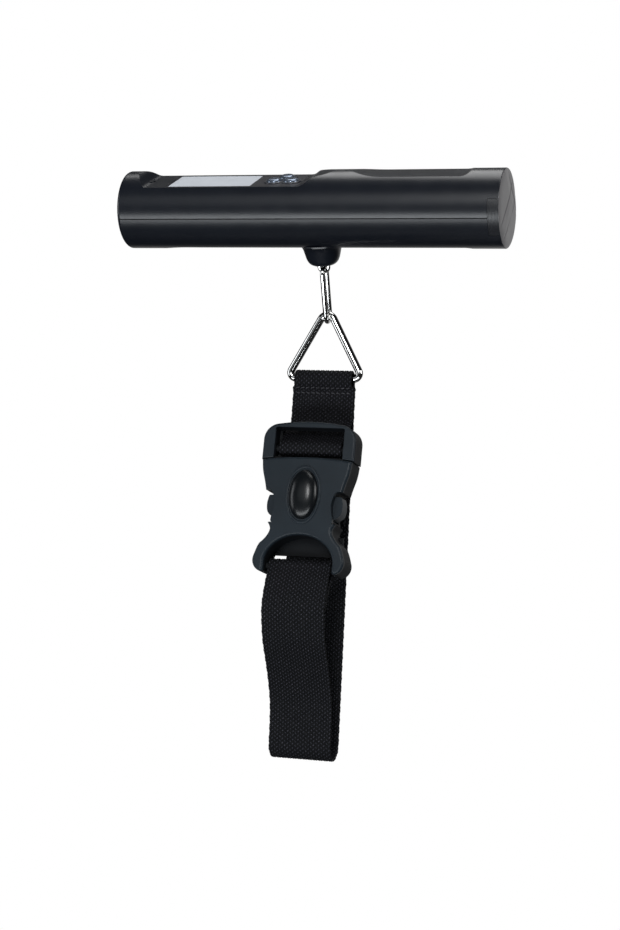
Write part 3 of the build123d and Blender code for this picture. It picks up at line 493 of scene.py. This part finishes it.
# painted shade: dark colour in the gaps between the yarn crests
shaded_yarn = web.mix(crest, YARN_GAP_SHADE, YARN_CREST)
flecked = web.mix(web.math("MULTIPLY", speck, crest), shaded_yarn, YARN_FLECK)
web.link(flecked, web.bsdf.inputs["Base Color"])
web.vary_roughness(0.08, 700.0)
web.bsdf.inputs["Sheen Weight"].default_value = 0.02
web.bsdf.inputs["Sheen Roughness"].default_value = 0.5
fibre = web.node("ShaderNodeTexWave", wave_type="BANDS", bands_direction="X")
fibre.inputs["Scale"].default_value = 1.3
fibre.inputs["Distortion"].default_value = 2.5
fibre.inputs["Detail"].default_value = 2.0
web.link(place.outputs[0], fibre.inputs["Vector"])
web.bump(fibre.outputs["Fac"], 0.5, 0.00008)

strap_upper, upper_length = webbing("strap_upper", upper_line, 0.0, at_fold)
strap_lower, lower_length = webbing("strap_lower", lower_line, upper_length)
for piece in (strap_upper, strap_lower):
    piece.data.materials.append(web.material)
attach(strap_upper, "strap")
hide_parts("webbing_back", "webbing_short")
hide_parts("webbing_front_run", "webbing_socket_end")
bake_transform(strap_lower)


STITCH_R, STITCH_HALF, STITCH_PITCH, STITCH_COUNT = 0.24, 0.78, 2.05, 11
STITCH_RINGS, STITCH_SIDES = 7, 8


def stitches(name, rows):
    """Rows of lock stitches; each row is (place, outward direction) in the (y, z) plane."""
    verts, quads = [], []
    rings, sides = STITCH_RINGS, STITCH_SIDES
    for place, outward in rows:
        outward = np.array(outward) / np.linalg.norm(outward)
        base = np.array(place) + outward * 0.05
        lift = np.array([-outward[1], outward[0]])
        for n in range(STITCH_COUNT):
            x = STRAP_X + (n - (STITCH_COUNT - 1) / 2) * STITCH_PITCH
            first = len(verts)
            for r in range(rings):
                t = -1 + 2 * r / (rings - 1)
                size = STITCH_R * math.sqrt(max(0.04, 1 - abs(t) ** 3))
                sink = 0.14 * t * t
                for s in range(sides):
                    turn = 2 * math.pi * s / sides
                    q = base + outward * (size * math.cos(turn) - sink) + lift * size * math.sin(turn)
                    verts.append((x + t * STITCH_HALF, q[0], q[1]))
            for r in range(rings - 1):
                here, after = first + r * sides, first + (r + 1) * sides
                for s in range(sides):
                    beside = (s + 1) % sides
                    quads.append((here + s, here + beside, after + beside, after + s))
    mesh = bpy.data.meshes.new(name)
    mesh.from_pydata([tuple(c * MM for c in v) for v in verts], [], quads)
    mesh.polygons.foreach_set("use_smooth", [True] * len(mesh.polygons))
    piece = bpy.data.objects.new(name, mesh)
    bpy.context.scene.collection.objects.link(piece)
    return piece


thread = Shader("thread", (0.020, 0.019, 0.024), 0.55)
thread.vary(0.25, 900.0)
twist = thread.node("ShaderNodeTexWave", wave_type="BANDS", bands_direction="DIAGONAL")
twist.inputs["Scale"].default_value = 1600.0
thread.link(thread.coords, twist.inputs["Vector"])
thread.bump(twist.outputs["Fac"], 0.6, 0.00006)
fold_stitching = stitches("fold_stitching", [
    ((16.05, -70.3), (-1, 0)), ((15.25, -68.35), (-0.81, -0.59)),
    ((18.93, -70.3), (1, 0)), ((19.62, -68.6), (0.86, -0.51))])
fold_stitching.data.materials.append(thread.material)
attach(fold_stitching, "strap")


# ---------------------------------------------------------------- battery cap details
CAP_R = 15.05
CAP_FACE_X = 76.64
CAP_AROUND, CAP_RINGS = 240, 80
CAP_CROWN = 0.34  # rise of the face at its middle
CAP_RISE_MAX = 0.9
FACET_SLOPE, FACET_REACH = 0.07, 5.0
CREASE_DEPTH, CREASE_HALF = 0.2, 0.35
# two ends of each crease in the face, as (v, w)
CREASES = (((-14.0, -3.5), (13.0, 9.0)), ((-12.0, -9.5), (15.0, 2.0)), ((4.5, 14.0), (13.5, -7.0)))


def side_point(x, v, w):
    """A point in the handle's own axes: v towards its back, w out of its display."""
    return (Vector((x, 0, 0)) + BACK * v + FACE * w) * MM


def cap_height(v, w):
    """Low relief of the cap's end face over its flange, mm."""
    edge = 1 - min(1.0, math.hypot(v, w) / CAP_R) ** 12
    height = CAP_CROWN * (1 - (v * v + w * w) / CAP_R**2)
    for (v0, w0), (v1, w1) in CREASES:
        length = math.hypot(v1 - v0, w1 - w0)
        away = ((v - v0) * (w1 - w0) - (w - w0) * (v1 - v0)) / length
        height += FACET_SLOPE * max(0.0, min(away, FACET_REACH))
        height -= CREASE_DEPTH * math.exp(-(away / CREASE_HALF) ** 2)
    return max(0.0, min(height, CAP_RISE_MAX) * edge)


def cap_face_mesh(name):
    """The cap's end face with its facets and creases, closed at the back."""
    around, rings = CAP_AROUND, CAP_RINGS
    verts, quads = [], []
    for ring in range(rings + 1):
        r = CAP_R * (ring + 0.02) / rings
        for k in range(around):
            turn = 2 * math.pi * k / around
            v, w = min(r, CAP_R) * math.cos(turn), min(r, CAP_R) * math.sin(turn)
            verts.append(side_point(CAP_FACE_X + cap_height(v, w), v, w))
    for k in range(around):
        turn = 2 * math.pi * k / around
        verts.append(side_point(CAP_FACE_X - 0.03, CAP_R * math.cos(turn), CAP_R * math.sin(turn)))
    for ring in range(rings + 1):
        for k in range(around):
            n = (k + 1) % around
            here, after = ring * around, (ring + 1) * around
            quads.append((here + k, after + k, after + n, here + n))
    quads.append(tuple(range(around)))
    quads.append(tuple(reversed(range((rings + 1) * around, (rings + 2) * around))))
    return closed_piece(name, verts, quads)


def closed_piece(name, verts, quads):
    """An object from a closed mesh, smooth but for its sharp edges."""
    mesh = bpy.data.meshes.new(name)
    mesh.from_pydata([tuple(v) for v in verts], [], quads)
    mesh.polygons.foreach_set("use_smooth", [True] * len(mesh.polygons))
    mesh.set_sharp_from_angle(angle=math.radians(40))
    piece = bpy.data.objects.new(name, mesh)
    bpy.context.scene.collection.objects.link(piece)
    return piece


TAB_R = 15.18
RIB_COUNT, RIB_X, RIB_PITCH = 7, 72.75, 0.56
RIB_RISE, RIB_FOOT = 0.22, -0.12


def grip_ribs_mesh(name):
    """Fine ribs across the cap's thumb tab, along the handle's curve."""
    low, high = math.radians(-24.5), math.radians(27.5)
    verts, quads, steps = [], [], 26
    for n in range(RIB_COUNT):
        x = RIB_X + RIB_PITCH * n
        first = len(verts)
        for step in range(steps + 1):
            turn = low + (high - low) * step / steps
            ease = max(0.0, math.sin(math.pi * step / steps)) ** 0.35
            top = RIB_RISE * ease
            for dx, rise in ((-0.14, RIB_FOOT), (-0.07, top), (0.07, top), (0.14, RIB_FOOT)):
                r = TAB_R + rise
                verts.append(side_point(x + dx, -r * math.cos(turn), r * math.sin(turn)))
        for step in range(steps):
            for k in range(4):
                quads.append((first + step * 4 + k, first + step * 4 + (k + 1) % 4,
                              first + (step + 1) * 4 + (k + 1) % 4, first + (step + 1) * 4 + k))
        quads.append((first + 3, first + 2, first + 1, first))
        last = first + steps * 4
        quads.append((last, last + 1, last + 2, last + 3))
    return closed_piece(name, verts, quads)


for make, name, finish in ((cap_face_mesh, "cap_face", cap_end),
                           (grip_ribs_mesh, "cap_grip_ribs", cap_plastic)):
    piece = make(name)
    piece.data.materials.append(finish.material)
    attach(piece, "battery_drawer")

# ---------------------------------------------------------------- buckle dome
DOME_AROUND = 72
DOME_HALF, DOME_RISE = 5.8, 3.0
DOME_STRETCH = 0.66  # how much taller than wide the oval is
DOME_UP = 0.5  # the oval's middle above the buckle's
FACE_OUT = 6.0  # the buckle's face out from its middle
RIM = [(7.0, -0.4), (7.0, 0.0), (6.93, 0.28), (6.78, 0.45), (6.55, 0.5), (6.32, 0.45), (6.18, 0.25),
       (6.12, 0.02), (5.86, -0.02)]
RIM_ROWS = len(RIM) - 1  # rows of faces that belong to the raised rim


def dome_mesh(name):
    """A thin raised ring round a tall oval dome, from rows of (half width, height over the face) in mm."""
    angles = [math.radians(a) for a in range(4, 90, 5)]
    profile = RIM + [(DOME_HALF * math.cos(a) ** 0.8, DOME_RISE * math.sin(a)) for a in angles]
    verts, quads, around = [], [], DOME_AROUND
    for half, height in profile:
        for k in range(around):
            turn = 2 * math.pi * k / around
            x = half * math.cos(turn)
            t = half * (1 + DOME_STRETCH * min(1.0, half / DOME_HALF)) * math.sin(turn) + DOME_UP
            out = FACE_OUT + height
            verts.append((BUCKLE_MID + Vector((x, 0, 0)) + BUCKLE_UP * t + BUCKLE_OUT * out) * MM)
    for row in range(len(profile) - 1):
        for k in range(around):
            n = (k + 1) % around
            quads.append((row * around + k, row * around + n, (row + 1) * around + n, (row + 1) * around + k))
    quads.append(tuple(range((len(profile) - 1) * around, len(profile) * around)))
    quads.append(tuple(reversed(range(around))))
    return closed_piece(name, verts, quads)


dome = dome_mesh("dome")
dome.data.materials.append(dome_plastic.material)
dome.data.materials.append(buckle_plastic.material)
for face in dome.data.polygons[:RIM_ROWS * DOME_AROUND]:
    face.material_index = 1
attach(dome, "socket")
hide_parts("socket_dome")

# ---------------------------------------------------------------- studio
COOL = (0.93, 0.97, 1.0)
LIGHT_TARGET = Vector((0.003, 0.0, -0.09))


def softbox(name, direction, distance, width, height, power, color=(1, 1, 1)):
    """A rectangular light, in metres and watts, that faces the middle of the object."""
    light = bpy.data.lights.new(name, "AREA")
    light.shape = "RECTANGLE"
    light.size, light.size_y = width, height
    light.energy = power
    light.color = color
    made = bpy.data.objects.new(name, light)
    bpy.context.scene.collection.objects.link(made)
    made.location = LIGHT_TARGET + Vector(direction).normalized() * distance
    made.rotation_mode = "QUATERNION"
    made.rotation_quaternion = (LIGHT_TARGET - made.location).to_track_quat("-Z", "Y")


softbox("front_key", (0.10, -0.93, 0.36), 1.5, 0.22, 0.5, 8)
softbox("low_strip", (-0.05, -0.86, -0.52), 1.0, 1.4, 0.26, 9, COOL)
softbox("front_soft", (0.05, -0.92, 0.34), 1.6, 1.8, 0.8, 2.5, COOL)
softbox("overhead", (0.05, 0.05, 1.0), 1.0, 1.2, 0.5, 7)
softbox("left_fill", (-1.0, -0.45, 0.15), 1.2, 0.4, 0.9, 3.5, (0.94, 0.97, 1.0))
softbox("right_fill", (1.0, -0.12, 0.35), 1.2, 0.5, 0.5, 5)

# white behind the object; for reflections a dim room with a pale backdrop at the back (+Y)
world = bpy.data.worlds.new("studio")
bpy.context.scene.world = world
world.use_nodes = True
sky = world.node_tree
sky.nodes.clear()
sky_out = sky.nodes.new("ShaderNodeOutputWorld")
background = sky.nodes.new("ShaderNodeBackground")
sky.links.new(background.outputs[0], sky_out.inputs[0])
direction = sky.nodes.new("ShaderNodeTexCoord")
parts = sky.nodes.new("ShaderNodeSeparateXYZ")
sky.links.new(direction.outputs["Generated"], parts.inputs[0])
backdrop = sky.nodes.new("ShaderNodeMapRange")
backdrop.interpolation_type = "SMOOTHSTEP"
BACKDROP = {"From Min": 0.74, "From Max": 0.99, "To Min": 0.02, "To Max": 0.6}
for socket, value in BACKDROP.items():
    backdrop.inputs[socket].default_value = value
sky.links.new(parts.outputs["Y"], backdrop.inputs["Value"])
seen = sky.nodes.new("ShaderNodeLightPath")
shown = sky.nodes.new("ShaderNodeMix")
shown.data_type = "FLOAT"
sky.links.new(seen.outputs["Is Camera Ray"], shown.inputs[0])
sky.links.new(backdrop.outputs[0], shown.inputs[2])
shown.inputs[3].default_value = 1.0
sky.links.new(shown.outputs[0], background.inputs["Strength"])
background.inputs["Color"].default_value = (1, 1, 1, 1)

FLOOR_R, FLOOR_Z, FLOOR_SIDES = 0.9, -2.2, 96
floor_mesh = bpy.data.meshes.new("floor")
turns = [2 * math.pi * i / FLOOR_SIDES for i in range(FLOOR_SIDES)]
floor_mesh.from_pydata([(FLOOR_R * math.cos(turn), FLOOR_R * math.sin(turn), FLOOR_Z) for turn in turns],
                       [], [list(range(FLOOR_SIDES))])
floor = bpy.data.objects.new("floor", floor_mesh)
bpy.context.scene.collection.objects.link(floor)
pale = Shader("pale_floor", (0.78, 0.78, 0.79), 0.8)
pale.vary(0.01, 3.0)
# the floor glows only for the camera, so it looks pale without lighting the object from below
pale.bsdf.inputs["Emission Color"].default_value = (1, 1, 1, 1)
straight = pale.node("ShaderNodeLightPath").outputs["Is Camera Ray"]
pale.link(pale.math("MULTIPLY", straight, 0.55), pale.bsdf.inputs["Emission Strength"])
floor_mesh.materials.append(pale.material)

bpy.context.scene.view_settings.view_transform = "Standard"
bpy.context.scene.view_settings.look = "None"
